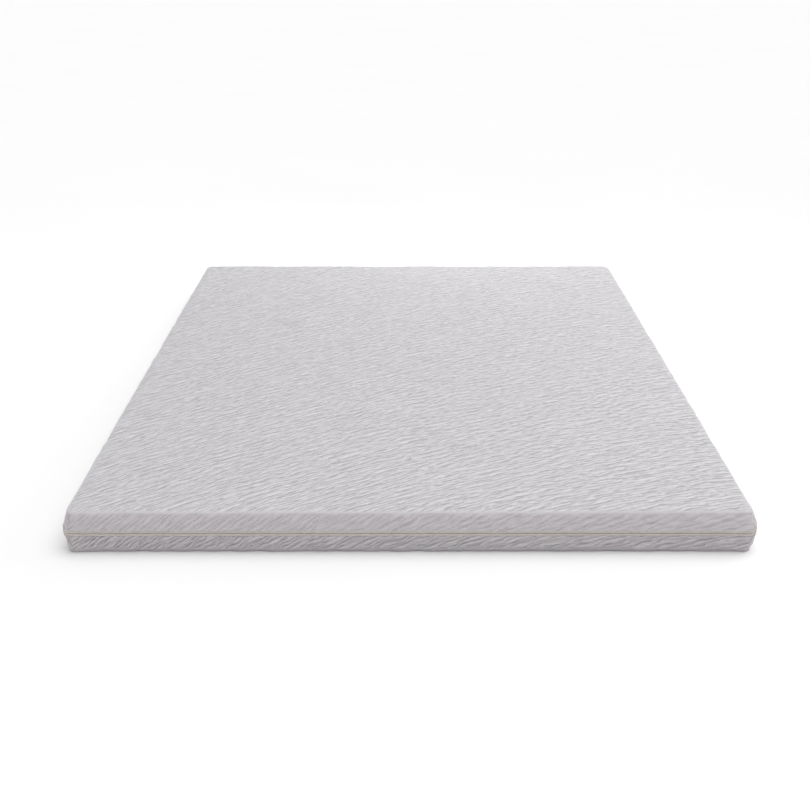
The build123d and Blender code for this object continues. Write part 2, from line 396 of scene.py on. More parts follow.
def alongBack(x):
    # the place along the border of a point of the back run
    return runStart[2] + straightX - x


def calmAt(distance):
    # 1 along the border, falling to 0 where the label and the patch press the fabric smooth
    calm = 1.0
    for node in ("care_label", "zip_end_patch"):
        low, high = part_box(node)
        start, end = alongBack(high.x), alongBack(low.x)
        calm = calm * (1 - ease(distance, start - 14 * mm, start) * (1 - ease(distance, end, end + 14 * mm)))
    return calm


# how the fabric fills out: beside the front corners, and at every corner towards the square
fullness = {
    "right": (runStart[1] + 0.02, 4.5, 8.0, 65.0),  # middle, out at the zip, at the foot, reach
    "left": (runStart[3] + runs[3] - 0.02, 1.5, 10.0, 65.0),
    "square": 3.5,  # millimetres further out at mid corner
}


def fullAt(distance, atFoot=False):
    # bells beside the front corners, and at the zip a hump over each quarter circle
    total = (not atFoot) * fullness["square"] * mm * np.sin(2 * borderPath(distance)[3]) ** 2
    for side in ("right", "left"):
        middle, atZip, low, reach = fullness[side]
        gap = np.abs(np.mod(distance, borderLength) - middle)
        gap = np.minimum(gap, borderLength - gap)
        total = total + (low if atFoot else atZip) * mm * np.exp(-(gap / (reach * mm)) ** 2)
    return total


def onBorder(distance, inset, height, ahead=0.0):
    # points of the border: an inset from the zip's outer face, a height and a small way ahead
    centre, out, _, _ = borderPath(distance)
    forward = np.stack([-out[:, 1], out[:, 0]], 1)
    flat = centre + out * (cornerRadius - inset + fullAt(distance))[:, None]
    flat = flat + forward * np.broadcast_to(ahead, len(flat))[:, None]
    return np.column_stack([flat, np.broadcast_to(height, len(flat))])


# each half of the cover: its outside from the flat part to the hem as (inset, height) in
# millimetres, the lines of its flat part, and how its pattern and slack show
upperHalf = {
    "outside": [(30, 100), (25.5, 99.75), (20.5, 99.2), (15.5, 98.2), (12.2, 97.3), (10.4, 96.5), (9.3, 95.5),
                (8.6, 94.2), (8.0, 92.3), (6.7, 88.3), (5.4, 84.3), (4.2, 80.3), (3.2, 76), (2.3, 71.5),
                (1.5, 67), (0.9, 62.5), (0.5, 59), (0.5, 57), (1.5, 55.5)],
    "lines": (201, 321),
    "way": 1,
    "fold": (4.2, 5.5),  # millimetres down to the sharpest bend, and how far that flattens the waves
    "wall": 0.6,  # share of the ridges' height that shows down the border
    "shade": 0.55,  # share of the painted shade down the border: a darker, warmer colour
}
lowerHalf = {
    "outside": [(30, 0), (24, 0), (19.6, 0.45), (16.6, 1.8), (14.6, 3.8), (12.6, 7.2), (11.0, 11),
                (9.4, 16.5), (7.9, 23), (6.2, 29.5), (4.6, 35), (3.0, 38.8), (1.4, 41.6), (0.7, 43.2),
                (0.8, 44.1), (1.6, 44.5)],
    "lines": (221, 241),
    "way": -1,
    "fold": (1.8, 8.0),
    "wall": 1.6,
    # painted shade down the lower border as well
    "shade": 0.5,
}
dart = {"height": 74.0, "length": 30.0, "depth": 1.3, "width": 2.6}  # a fold beside the front left seam
sewing = {  # what the corner seams and the fold do to the fabric, in millimetres
    "dip": 1.7,
    "dipReach": 1.5,
    "pucker": 0.45,
    "puckerPitch": 11.0,
    "puckerReach": 13.0,
    "flattened": 0.94,  # share of the ridges that the fold takes away
    "rowSpacing": 3.05,  # between the mesh's rows down the border
}


def coverHalf(name, half):
    # the flat part is a grid; each column of the border carries the outside's profile from its
    # edge, fanned out round the corners; the inside is the same profile set in by the fabric's
    # thickness, closed by one flat face
    way, (countX, countY) = half["way"], half["lines"]
    flatLevel = half["outside"][0][1] * mm
    xs, ys = np.linspace(-straightX, straightX, countX), np.linspace(-straightY, straightY, countY)
    gridX, gridY = (a.ravel() for a in np.meshgrid(xs, ys, indexing="ij"))
    index = np.arange(countX * countY).reshape(countX, countY)
    edges = [index[:, 0], index[-1, :], index[::-1, -1], index[0, ::-1]]
    distance, base = [], []
    for run, edge in enumerate(edges):
        local = np.arange(1, len(edge) - 1) / (len(edge) - 1)
        turn = seamTurn[run]
        turns = np.concatenate([np.linspace(0, turn - 0.12, 4), turn + np.array([-0.045, 0, 0.045]),
                                np.linspace(turn + 0.12, pi / 2, 4)])
        distance += [runStart[run] + local * runs[run], runStart[run] + runs[run] + turns * cornerRadius]
        base += [edge[1:-1], np.full(len(turns), edge[-1])]
    # the column at the end of a quarter circle stands where the next run starts
    endings = np.cumsum([len(part) for part in base])[1::2] - 1
    distance, base = np.concatenate(distance), np.concatenate(base)
    centre, out, run, turn = borderPath(distance - 1e-9)
    turn[endings] = pi / 2

    profile, along = smoothLine(half["outside"], sewing["rowSpacing"])
    inset, level = profile[1:, 0], profile[1:, 1]
    along, height = along[1:], level[:, None]
    slope = unit(np.gradient(profile, axis=0)[1:])
    normal = np.stack([slope[:, 1], -slope[:, 0]], 1) * way  # in (inset, height)
    corner = turn > 1e-6
    past = corner & (turn > seamTurn[run] + 1e-6)  # beyond the corner seam
    radius = cornerRadius - inset

    def unfolded(second, along):
        # where each point lies on the panel that it was cut from: along its run and out from it
        which = (run + second) % 4
        sweep = np.where(second, turn - pi / 2, turn)
        return (centre[None] + aheadOf[which][None] * (sweep[None] * radius[:, None])[..., None]
                + outOf[which][None] * along[:, None, None])

    onFirst, onSecond = np.zeros(len(run), int), corner.astype(int)
    first, second = unfolded(onFirst, along), unfolded(onSecond, along)
    fold = np.interp(half["fold"][0] * mm, np.abs(level - flatLevel), along)
    drawn = along + wavePattern["squeeze"] * np.maximum(along - fold, 0)
    onPanel = np.where(past[None, :, None], unfolded(onSecond, drawn), unfolded(onFirst, drawn))
    flip = np.array([1, way])

    # ridges: the pattern at the place on the panel, faded towards the hem and the corner seams,
    # pulled almost flat over the fold, and pressed smooth behind the label and the patch
    away, seamGap = np.abs(height - flatLevel), seamDistance(distance)[None]
    wallShare = ease(away, 1 * mm, 12 * mm)  # 1 down the border
    fromHem = (along[-1] - along)[:, None]
    waves = waveAt(onPanel[..., 0], onPanel[..., 1] * way) * ease(fromHem, 0.5 * mm, 5 * mm)
    waves = waves * (1 - (1 - ease(seamGap, 1 * mm, 9 * mm)) * wallShare)
    pulled = 1 - sewing["flattened"] * np.exp(-((along - fold) / (half["fold"][1] * mm)) ** 2)
    calm = 1 - (1 - calmAt(distance))[None] * wallShare
    waves = waves * pulled[:, None] * calm
    # slack: slow swells of the flat part, shorter ones along the border
    loose = (sample(slackField, onPanel[..., 0], onPanel[..., 1]) * slack["height"] * (1 - wallShare)
             + sample(borderField, distance[None], height)
             * slack["borderHeight"] * wallShare * ease(fromHem, 5 * mm, 18 * mm)) * mm
    # beside a corner seam the fabric dips to the stitches and puckers along them
    pucker = np.sin(2 * pi * height / (sewing["puckerPitch"] * mm) + distance * 40)
    dip = (sewing["pucker"] * pucker * np.exp(-(seamGap / (sewing["puckerReach"] * mm)) ** 2)
           - sewing["dip"] * np.exp(-(seamGap / (sewing["dipReach"] * mm)) ** 2))
    loose = loose * calm + dip * mm * wallShare * ease(fromHem, 1 * mm, 6 * mm)
    if way > 0:
        fromSeam = distance[None] - (runStart[3] + runs[3] + seamTurn[3] * cornerRadius)
        fromSeam = np.where(fromSeam < -1, fromSeam + borderLength, fromSeam)
        reach, middle = dart["length"] * mm, dart["height"] * mm
        pinch = ease(fromSeam, -1 * mm, 2 * mm) * (1 - ease(fromSeam, 0.5 * reach, reach))
        loose -= dart["depth"] * mm * pinch * np.exp(-((height - middle) / (dart["width"] * mm)) ** 2)
    else:
        loose *= ease(height, 3 * mm, 14 * mm)
        # the foot rests straight on the floor, with its ridges pressed flat
        pressed = 0.25 + 0.75 * ease(height, 1 * mm, 9 * mm)
        waves = np.where(height < 1 * mm, np.minimum(waves - 1, 0) * 0.25, waves * pressed)
    # the border swells outwards towards the zip, and near the front corners also at its foot
    swell = fullAt(distance)[None] * ease(away, 2 * mm, 38 * mm)
    if way < 0:
        swell = swell + fullAt(distance, True)[None] * (ease(height, 0.2 * mm, 4 * mm)
                                                        * (1 - ease(height, 5 * mm, 40 * mm)))
    reachOut = radius[:, None] + swell - normal[:, :1] * loose
    body = np.concatenate([centre[None] + out[None] * reachOut[..., None],
                           (height + normal[:, 1:] * loose)[..., None]], 2)
    facing = np.concatenate([-out[None] * normal[:, :1, None],
                             np.broadcast_to(normal[:, 1:, None], (len(level), len(run), 1))], 2)
    tall = 1 - (1 - half["wall"]) * wallShare
    outside = body + facing * (waves * tall * wavePattern["height"] * mm / 2)[..., None]
    backRows = np.arange(len(level) - 2, 2, -4)
    inside = (body - facing * fabricThick)[backRows]
    inside[-1, :, 2] = flatLevel - way * (fabricThick + 0.05 * mm)
    gridWave = waveAt(gridX, gridY * way)
    rise = gridWave * wavePattern["height"] * mm / 2 + sample(slackField, gridX, gridY) * slack["height"] * mm
    if way < 0:
        rise = np.maximum(0.25 * (1 - gridWave) * wavePattern["height"] * mm / 2, 0)
    flat = np.column_stack([gridX, gridY, flatLevel + rise])
    rows, columns, start = len(level) + len(backRows), len(run), len(flat)
    points = np.concatenate([flat, outside.reshape(-1, 3), inside.reshape(-1, 3)])
    ridge = np.concatenate([gridWave, waves.ravel(), np.zeros(len(backRows) * columns)])
    # painted shade: the walls are coloured darker and warmer by this share and by how far down the border
    # they are
    border = half["shade"] * np.concatenate([0 * gridX, np.repeat(wallShare[:, 0], columns),
                                             np.ones(len(backRows) * columns)])
    loosened = np.concatenate([0 * gridX + 1, np.repeat(pulled * tall[:, 0], columns),
                               np.zeros(len(backRows) * columns)])

    # faces, with the panel that each belongs to
    k = np.arange(columns)
    after = (k + 1) % columns
    middle = turn + (turn[after] - turn) / 2
    useSecond = corner & (middle > seamTurn[run])
    useSecond[endings] = True
    firstAll, secondAll = (np.concatenate([a, a[backRows]]) for a in (first, second))
    here = np.where(useSecond[None, :, None], secondAll, firstAll)
    there = np.where((useSecond & corner[after])[None, :, None], secondAll[:, after], firstAll[:, after])
    ring = start + gridFaces(rows, columns, wrapColumns=True)
    ringUv = np.stack([here[:-1], there[:-1], there[1:], here[1:]], 2).reshape(-1, 2) * flip
    wedge = base == base[after]
    flatUv = np.column_stack([gridX, gridY]) * flip
    stitched = np.stack([base, base[after], start + after, start + k], 1)[~wedge]
    wedges = np.stack([base, start + after, start + k], 1)[wedge]
    grid = gridFaces(countX, countY)
    cap = (start + (rows - 1) * columns + k)[None]
    hereUv, thereUv = here[0] * flip, there[0] * flip
    uv = [flatUv[grid], ringUv,
          np.stack([flatUv[base], flatUv[base[after]], thereUv, hereUv], 1)[~wedge],
          np.stack([flatUv[base], thereUv, hereUv], 1)[wedge],
          points[cap[0], :2] * flip]
    return makePiece(name, points, [grid, ring, stitched, wedges, cap], uv,
                     {"ridge": ridge, "border": border, "loose": loosened})


# double jersey knit of polyester with raised waves: soft, matt, slightly fuzzy; its colour carries painted
# light and shade, lighter on the ridges and darker in the valleys, and painted shade down the border, darker
# and faintly warmer
def knitRipples(tree):
    # short fine ripples between the raised waves, in the same bent course as those: the place is
    # sheared by the square of its width, turned by the climb and stretched along it
    part = addNode(tree, "SeparateXYZ", inputs={0: place(tree, "fabric")}).outputs
    squared = reckon(tree, "MULTIPLY", part["X"], part["X"])
    bent = reckon(tree, "MULTIPLY_ADD", squared, radians(wavePattern["turnLess"]), part["Y"])
    course = addNode(tree, "CombineXYZ", inputs={"X": part["X"], "Y": bent}).outputs[0]
    course = addNode(tree, "Mapping", {"vector_type": "TEXTURE"},
                     {"Vector": course, "Rotation": (0, 0, radians(wavePattern["climb"])),
                      "Scale": (wavePattern["stretch"], 1, 1)}).outputs["Vector"]
    valleys = bands(tree, course, wavePattern["ripple"], "Y", 7.0, 2.0)
    narrow = reckon(tree, "MULTIPLY", valleys, valleys)
    uneven = noise(tree, course, 0.6 * wavePattern["ripple"], 2, 0.45)
    # noise, less a third of the narrowed bands, brought to about zero
    rows = reckon(tree, "MULTIPLY_ADD", narrow, -0.33, -0.20)
    return reckon(tree, "MULTIPLY_ADD", uneven, 0.64, rows)


def rippleHeight(tree):
    # the ripples are pulled flat where the fabric is taut over a fold
    return reckon(tree, "MULTIPLY", knitRipples(tree), stored(tree, "loose"))


def knitColour(tree):
    spot = place(tree, "fabric")
    # painted light and shade: the colour runs from darker in the valleys of the waves and ripples to lighter
    # on their ridges
    ridge = remap(tree, stored(tree, "ridge"), -1, 1, 0, 0.4)
    ridge = reckon(tree, "ADD", ridge, remap(tree, rippleHeight(tree), -0.18, 0.18, 0, 0.6))
    base = ramp(tree, ridge, [(0.1, "#adabaf"), (0.5, "#c6c4c7"), (0.9, "#d5d3d6")])
    # painted shade: down the border the colour is mixed towards a darker, warmer grey
    base = mixed(tree, base, "#b3a8ac", remap(tree, stored(tree, "border"), 0, 1, 0, 0.62))
    cloudy = remap(tree, noise(tree, spot, 160, 4), 0.35, 0.7, 0, 0.12)
    base = mixed(tree, base, mixed(tree, base, "#f0eded", 1.0, "MULTIPLY"), cloudy)
    fleck = remap(tree, noise(tree, spot, 5, 3), 0.5, 0.75, 0, 0.3)
    return mixed(tree, base, mixed(tree, base, "#e2dfe1", 1.0, "MULTIPLY"), fleck)


def knitLoops(tree):
    # wales 2.2 mm apart, crossed by courses: coarser than the real 0.9 mm, so that they can show
    spot = place(tree, "fabric")
    wales, courses = bands(tree, spot, 2.2), bands(tree, spot, 2.6, "Y", 1.0)
    return reckon(tree, "MULTIPLY", wales, courses)


coverKnit = shadedMaterial(
    "polyesterWaveKnit", {"Roughness": 0.88, "IOR": 1.5, "Sheen Weight": 0.25, "Sheen Roughness": 0.5,
                          "Specular IOR Level": 0.3},
    knitColour, [(rippleHeight, 1.0, wavePattern["rippleDepth"]), (knitLoops, 0.25, 0.35),
                 (grain(9, 5, "fabric", 0.6), 0.3, 0.8)])

upperCover = settle(coverHalf("upperCover", upperHalf), coverKnit, ["upper_cover"])
lowerCover = settle(coverHalf("lowerCover", lowerHalf), coverKnit, ["lower_cover"])
print("cover made:", [len(cover.data.polygons) for cover in (upperCover, lowerCover)])


def sweptPiece(name, distance, outline, lumps=0.0, fields=()):
    # carries a closed outline of (inset, height) in millimetres along the border, and closes the
    # two ends by flat faces; fields are values for the whole piece that its material reads
    outline = np.array(outline, float) * mm
    rows, columns = len(distance), len(outline)
    where = np.repeat(distance, columns)
    wobble = lumps * mm * sample(borderField, 2.3 * where, np.tile(outline[:, 1], rows) + 0.4)
    points = onBorder(where, np.tile(outline[:, 0], rows) + wobble, np.tile(outline[:, 1], rows))
    around = lengthAlong(np.concatenate([outline, outline[:1]]))
    uv = gridUv(distance, around)
    uv[:, 2:, 0] = uv[:, :2, 0] + distance[1] - distance[0]  # every step is mapped as long as the first
    endUv = np.broadcast_to(np.stack([0 * around[:-1], around[:-1]], 1), (2, columns, 2))
    return makePiece(name, points, [gridFaces(rows, columns, wrapColumns=True), endFaces(rows, columns)],
                     [uv, endUv], {field: np.full(len(points), value) for field, value in fields})


def bead(length, width, depth, sides=6):
    # a rounded bar along its first axis: four rings of points, the end ones drawn in
    angle = np.arange(sides) * 2 * pi / sides
    rings = [(-0.5, 0.45), (-0.36, 1.0), (0.36, 1.0), (0.5, 0.45)]
    return np.array([(length * at, width / 2 * size * np.cos(a), depth / 2 * size * np.sin(a))
                     for at, size in rings for a in angle]) * mm


def repeated(name, shape, distance, inset, level, upright):
    # one shape at each place along the border; upright bars stand, the others lie along it
    count, size = len(distance), len(shape)
    lengthways, sideways, outwards = (np.tile(shape[:, k], count) for k in range(3))
    where, inset, level = (np.repeat(np.broadcast_to(a, count), size) for a in (distance, inset, level))
    ahead, rise = (sideways, lengthways) if upright else (lengthways, sideways)
    points = onBorder(where, inset - outwards, level + rise, ahead)
    sides = size // 4
    groups = [(part[None] + size * np.arange(count)[:, None, None]).reshape(-1, part.shape[1])
              for part in (gridFaces(4, sides, wrapColumns=True), endFaces(4, sides))]
    return makePiece(name, points, groups)


# a zip runs all round at mid height; each tape is sewn behind its fabric edge, and its two ends
# meet under the patch on the back
zipPlan = {
    "pitch": 2.4,  # millimetres from one tooth of the coil to the next
    "tooth": (2.9, 1.25, 2.0),  # height, width and depth
    "end": 2.0,  # half the gap between the tape's ends
    "coilEnd": 5.0,  # the coil stops short of it, at the end stops
    "stitch": (3.0, 0.75, 0.7),
    "stitchPitch": 4.2,
}
meeting = alongBack(sum(corner.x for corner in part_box("zip_end_patch")) / 2)
tapeEnds = meeting + zipPlan["end"] * mm, meeting + borderLength - zipPlan["end"] * mm
coilEnds = meeting + zipPlan["coilEnd"] * mm, meeting + borderLength - zipPlan["coilEnd"] * mm


def borderSteps(start, end, straight, bend):
    # places along the border, closer together round the corners
    every = np.concatenate([np.concatenate([runStart[k] + np.arange(0, runs[k], straight * mm),
                                            runStart[k] + runs[k] + np.arange(0, arcLength, bend * mm)])
                            for k in range(4)])
    every = np.sort(np.concatenate([every, every + borderLength]))
    every = every[(every > start + 1 * mm) & (every < end - 1 * mm)]
    return np.concatenate([[start], every, [end]])


# the tapes' closed outlines, as (inset, height) in millimetres
upperTapeOutline = [(2.0, 50.75), (1.9, 53), (1.9, 55.0), (2.6, 57), (2.8, 60), (3.2, 64.3), (3.6, 64.5),
                    (4.0, 64.2), (3.6, 60), (3.5, 55), (3.3, 50.75)]
lowerTapeOutline = [(2.0, 49.25), (1.9, 47), (2.0, 45.0), (2.9, 43), (3.9, 40.5), (6.2, 36), (6.7, 35.6),
                    (7.1, 36.1), (4.9, 40.5), (3.6, 44.8), (3.3, 49.25)]


# polyester tape, woven in a fine twill and heat-set: flat, matt, cream against the fabric
wovenTape = shadedMaterial("polyesterTwillTape", {"Roughness": 0.8, "IOR": 1.5, "Sheen Weight": 0.15},
                           blotches("#d6cfcb", "#dfd9d4", 14, 4, "fabric"), [(ribs(1.6, turn=45), 0.4, 0.3)])

# nylon monofilament coil, moulded smooth: slightly waxy, a soft highlight on every tooth
nylonCoil = shadedMaterial("nylonMonofilament", {"Roughness": 0.42, "IOR": 1.53, "Subsurface Weight": 0.1,
                                                 "Subsurface Scale": 0.001},
                           blotches("#dad3ce", "#e3ddd7", 3, 2), [(grain(1.2, 2), 0.15, 0.2)])

tapeSteps = borderSteps(*tapeEnds, 14, 3.5)
teeth = np.arange(coilEnds[0], coilEnds[1], zipPlan["pitch"] * mm)
for half, outline, shift in (("upper", upperTapeOutline, 0.0), ("lower", lowerTapeOutline, 0.5)):
    settle(sweptPiece(half + "Tape", tapeSteps, outline), wovenTape, [half + "_zip_tape"])
    low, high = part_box(half + "_zip_coil")
    coil = repeated(half + "Coil", bead(*zipPlan["tooth"]), teeth + shift * zipPlan["pitch"] * mm, 0.95 * mm,
                    (low.z + high.z) / 2, True)
    settle(coil, nylonCoil, [half + "_zip_coil"])
print("zip made:", len(teeth), "teeth a side")

# polyester sewing thread: tight, slightly shiny, a shade lighter than the fabric
sewingThread = shadedMaterial("spunPolyesterThread", {"Roughness": 0.55, "IOR": 1.5, "Sheen Weight": 0.2},
                              blotches("#cfc8c6", "#dcd6d3", 8, 2),
                              [(ribs(0.7, "DIAGONAL", kind="Object"), 0.3, 0.15)])


def insetAt(half, level):
    # the outside's inset at a height
    line = smoothLine(half["outside"], 0.5)[0]
    order = np.argsort(line[:, 1])
    return np.interp(level, line[order, 1], line[order, 0])


seamPlaces = runStart + runs + seamTurn * cornerRadius
for name, half, node, rowLevel, seamLevels in (
        ("upperStitching", upperHalf, "upper_cover", upperEdge + 2.6 * mm, np.arange(61, 96, 4.4) * mm),
        ("lowerStitching", lowerHalf, "lower_cover", lowerEdge - 2.6 * mm, np.arange(7, 40, 4.4) * mm)):
    along = np.arange(0, borderLength, zipPlan["stitchPitch"] * mm)
    where = np.concatenate([along, np.repeat(seamPlaces, len(seamLevels))])
    level = np.concatenate([np.full(len(along), rowLevel), np.tile(seamLevels, 4)])
    sunk = np.concatenate([np.full(len(along), -0.1 * mm), np.full(4 * len(seamLevels), 1.2 * mm)])
    stitches = repeated(name, bead(*zipPlan["stitch"]), where, insetAt(half, level) + sunk, level, False)
    settle(stitches, sewingThread, [], bodyOf[node])

# the patch of the same fabric, folded over the meeting ends of the zip
patchOutline = [(4.3, 35.6), (3.0, 38.6), (1.3, 41.8), (0.2, 44.2), (-0.3, 46.6), (-0.32, 55), (-0.3, 62),
                (-0.6, 62.6), (-1.2, 62.7), (-1.7, 62.2), (-1.8, 55), (-1.8, 47), (-1.5, 44.2), (-0.2, 41.2),
                (1.5, 38), (2.9, 35.3), (3.6, 35.1)]
low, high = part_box("zip_end_patch")
patchSteps = np.linspace(alongBack(high.x), alongBack(low.x), 18)
patchFields = (("border", 0.7), ("loose", 0.5), ("ridge", -0.1))  # what the knit's material reads: the border's painted shade, a middling ridge tone and half the ripples
endPatch = settle(sweptPiece("zipEndPatch", patchSteps, patchOutline, 0.1, patchFields), coverKnit,
                  ["zip_end_patch"])
patchRow = np.linspace(alongBack(high.x - 3 * mm), alongBack(low.x + 3 * mm), 8)
patchStitches = repeated("patchStitching", bead(*zipPlan["stitch"]), patchRow, 0.9 * mm, 39.2 * mm, False)
settle(patchStitches, sewingThread, [], "lower_half")

# satin ribbon label, woven and left blank: smooth, with a silky sheen along the weft
wovenSatin = shadedMaterial("wovenSatinRibbon", {"Roughness": 0.38, "IOR": 1.5, "Sheen Weight": 0.4,
                                                 "Sheen Roughness": 0.3},
                            blotches("#d0cfcd", "#dddcda", 20, 2, "fabric"), [(ribs(0.8, "Y"), 0.3, 0.1)])
low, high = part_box("care_label")
# it stands 1 to 1.5 mm off the fabric, a little bowed
drop = np.linspace(high.z, low.z, 14)
labelFace = insetAt(lowerHalf, drop) - (1.0 + 0.5 * np.sin(np.linspace(0, pi, 14) * 1.4)) * mm
labelBack = list(zip((labelFace + 0.4 * mm) / mm, drop / mm))
labelOutline = list(zip(labelFace / mm, drop / mm)) + labelBack[::-1]
labelSteps = np.linspace(alongBack(high.x), alongBack(low.x), 31)
careLabel = settle(sweptPiece("careLabel", labelSteps, labelOutline, 0.15), wovenSatin, ["care_label"])

# sewn margins inside each corner: two plies standing inwards, their cut edges bound by overlocking
margin = {"thick": 3.0, "deep": 5.0, "behind": 4.4}
overlocking = ribs(2.6, "X", 0.6)


def marginColour(tree):
    # the binding thread lies paler over the cut plies
    thread = overlocking(tree)
    return mixed(tree, blotches("#c0bcbf", "#cfccce", 6, 3, "fabric")(tree), "#e4dfdc",
                 remap(tree, thread, 0.55, 0.8))


overlockedKnit = shadedMaterial("overlockedKnitEdge", {"Roughness": 0.85, "IOR": 1.5, "Sheen Weight": 0.2},
                                marginColour, [(overlocking, 0.6, 0.5)])


def seamMargin(name, node, half, seam):
    # rows of points up the seam, each a rounded rectangle of the two plies, wavy at its free edge
    low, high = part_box(node)
    level = np.linspace(low.z, high.z, 18)
    angle = np.linspace(0, 2 * pi, 12, endpoint=False)
    side, depth = (np.sign(wave) * np.abs(wave) ** 0.45 for wave in (np.sin(angle), np.cos(angle)))
    free = (1 + depth) / 2
    wavy = 0.35 * np.sin(level[:, None] * 900) * free * mm
    behind = margin["behind"] * mm + free * margin["deep"] * mm
    inset = (insetAt(half, level)[:, None] + behind + wavy).ravel()
    ahead = (side * margin["thick"] / 2 * mm + 0.5 * wavy).ravel()
    height = np.repeat(level, len(angle))
    points = onBorder(np.full(len(inset), seam), inset, height, ahead)
    around = np.arange(len(angle) + 1) * 1.3 * mm
    return makePiece(name, points, [gridFaces(len(level), len(angle), wrapColumns=True),
                                    endFaces(len(level), len(angle))],
                     [gridUv(level, around), np.zeros((2, len(angle), 2))])


for half, shape in (("upper", upperHalf), ("lower", lowerHalf)):
    for corner, seam in zip(("front_right", "back_right", "back_left", "front_left"), seamPlaces):
        node = half + "_seam_" + corner
        name = half + "Margin" + corner.title().replace("_", "")
        settle(seamMargin(name, node, shape, seam), overlockedKnit, [node])
print("sewing, patch, label and margins made")

# the core: a memory foam layer on a firmer one, in a thin sleeve
core = {"foamRadius": 42.0, "foamEdge": 8.0, "foamInset": 0.4, "sleeveThick": 0.6, "crease": 0.5,
        "sleeveEdge": 9.2, "sleeveRadius": 43.2}


def roundedCourse(halfX, halfY, radius, straight, bend):
    # centre and outward direction of columns round a rectangle with round corners
    runs = np.array([halfX, halfY, halfX, halfY]) * 2 - 2 * radius
    corners = np.array([(-1, -1), (1, -1), (1, 1), (-1, 1)]) * (np.array([halfX, halfY]) - radius)
    centre, out = [], []
    for k in range(4):
        steps = np.linspace(0, runs[k], max(2, round(runs[k] / straight)), endpoint=False)
        turn = np.linspace(0, pi / 2, bend + 1)[:-1]
        centre += [corners[k] + aheadOf[k] * steps[:, None], np.tile(corners[(k + 1) % 4], (bend, 1))]
        out += [np.tile(outOf[k], (len(steps), 1)),
                outOf[k] * np.cos(turn)[:, None] + aheadOf[k] * np.sin(turn)[:, None]]
    return np.concatenate(centre), np.concatenate(out)


def foamLayer(name, node, top, bottom):
    # a sawn block: its profile of (inset, height) carried round a rounded rectangle, flat above
    # and below, with a faintly uneven wall
    low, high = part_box(node)
    radius, edge, gap = core["foamRadius"] * mm, core["foamEdge"] * mm, core["foamInset"] * mm
    centre, out = roundedCourse(high.x - gap, high.y - gap, radius, 20 * mm, 10)
    turns = np.linspace(0, pi / 2, 7)
    high.z, low.z = high.z - gap * top, low.z + gap * bottom
    above, below = (edge if rounded else 0.8 * mm for rounded in (top, bottom))
    foot = np.stack([below * (1 - np.sin(turns)), low.z + below * (1 - np.cos(turns))], 1)
    wall = np.stack([0 * turns, np.linspace(low.z + below, high.z - above, 9)[1:-1]], 1)
    head = np.stack([above * (1 - np.cos(turns)), high.z - above * (1 - np.sin(turns))], 1)
    profile = np.concatenate([[(radius - 4 * mm, low.z)], foot, wall, head, [(radius - 4 * mm, high.z)]])
    inset, level = profile[:, :1], profile[:, 1:]
    around = np.arange(len(centre))[None] * 0.02
    rough = 0.25 * mm * sample(borderField, 3 * around, 2 * level)
    flat = centre[None] + out[None] * (radius - inset - np.abs(rough))[..., None]
    points = np.concatenate([flat, np.broadcast_to(level[..., None], (*flat.shape[:2], 1))], 2).reshape(-1, 3)
    size = len(profile), len(centre)
    return makePiece(name, points, [gridFaces(*size, wrapColumns=True), endFaces(*size)])


# open-cell polyurethane foam, sawn from a block: dull, crumbly to the eye, pin-pricked with cells
def foamPores(tree):
    cells = addNode(tree, "TexVoronoi", inputs={"Vector": place(tree), "Scale": 1 / (1.6 * mm)})
    return cells.outputs["Distance"]


def foamMaterial(name, light, dark):
    return shadedMaterial(name, {"Roughness": 0.95, "IOR": 1.45, "Subsurface Weight": 0.15,
                                 "Subsurface Scale": 0.004},
                          blotches(dark, light, 25, 5), [(foamPores, 0.5, 0.6), (grain(12, 4), 0.2, 1.0)])


viscoFoam = foamMaterial("viscoelasticFoamSawn", "#efe9d3", "#e4dcc2")
baseFoam = foamMaterial("polyurethaneFoamSawn", "#e2e6ea", "#d3d8dd")
memoryFoam = settle(foamLayer("memoryFoam", "memory_foam", True, False), viscoFoam, ["memory_foam"])
supportFoam = settle(foamLayer("supportFoam", "support_foam", False, True), baseFoam, ["support_foam"])


def creases(u, v):
    # soft creases of slack jersey: how far in they go from its outside
    depth = np.tanh(sample(borderField, u, v) + 0.6 * sample(slackField, 3 * u, v))
    return core["crease"] * mm * (0.5 + 0.5 * depth)


def sleeveTube(name, node):
    # a rounded rectangle of x and z carried along y, drawn in by its creases
    low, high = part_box(node)
    edge = core["sleeveEdge"] * mm
    course, out = roundedCourse(high.x, (high.z - low.z) / 2, edge, 9 * mm, 6)
    along = np.linspace(low.y, high.y, 190)
    around = lengthAlong(course + out * edge)
    deep = creases(around[None], along[:, None])
    ring = course[None] + out[None] * (edge - deep)[..., None]
    points = np.stack([ring[..., 0], np.broadcast_to(along[:, None], deep.shape),
                       ring[..., 1] + (high.z + low.z) / 2], 2).reshape(-1, 3)
    uv = gridUv(along, np.append(around, around[-1] + 9 * mm))[..., ::-1]
    return makePiece(name, points, [gridFaces(len(along), len(around), wrapColumns=True)], [uv])


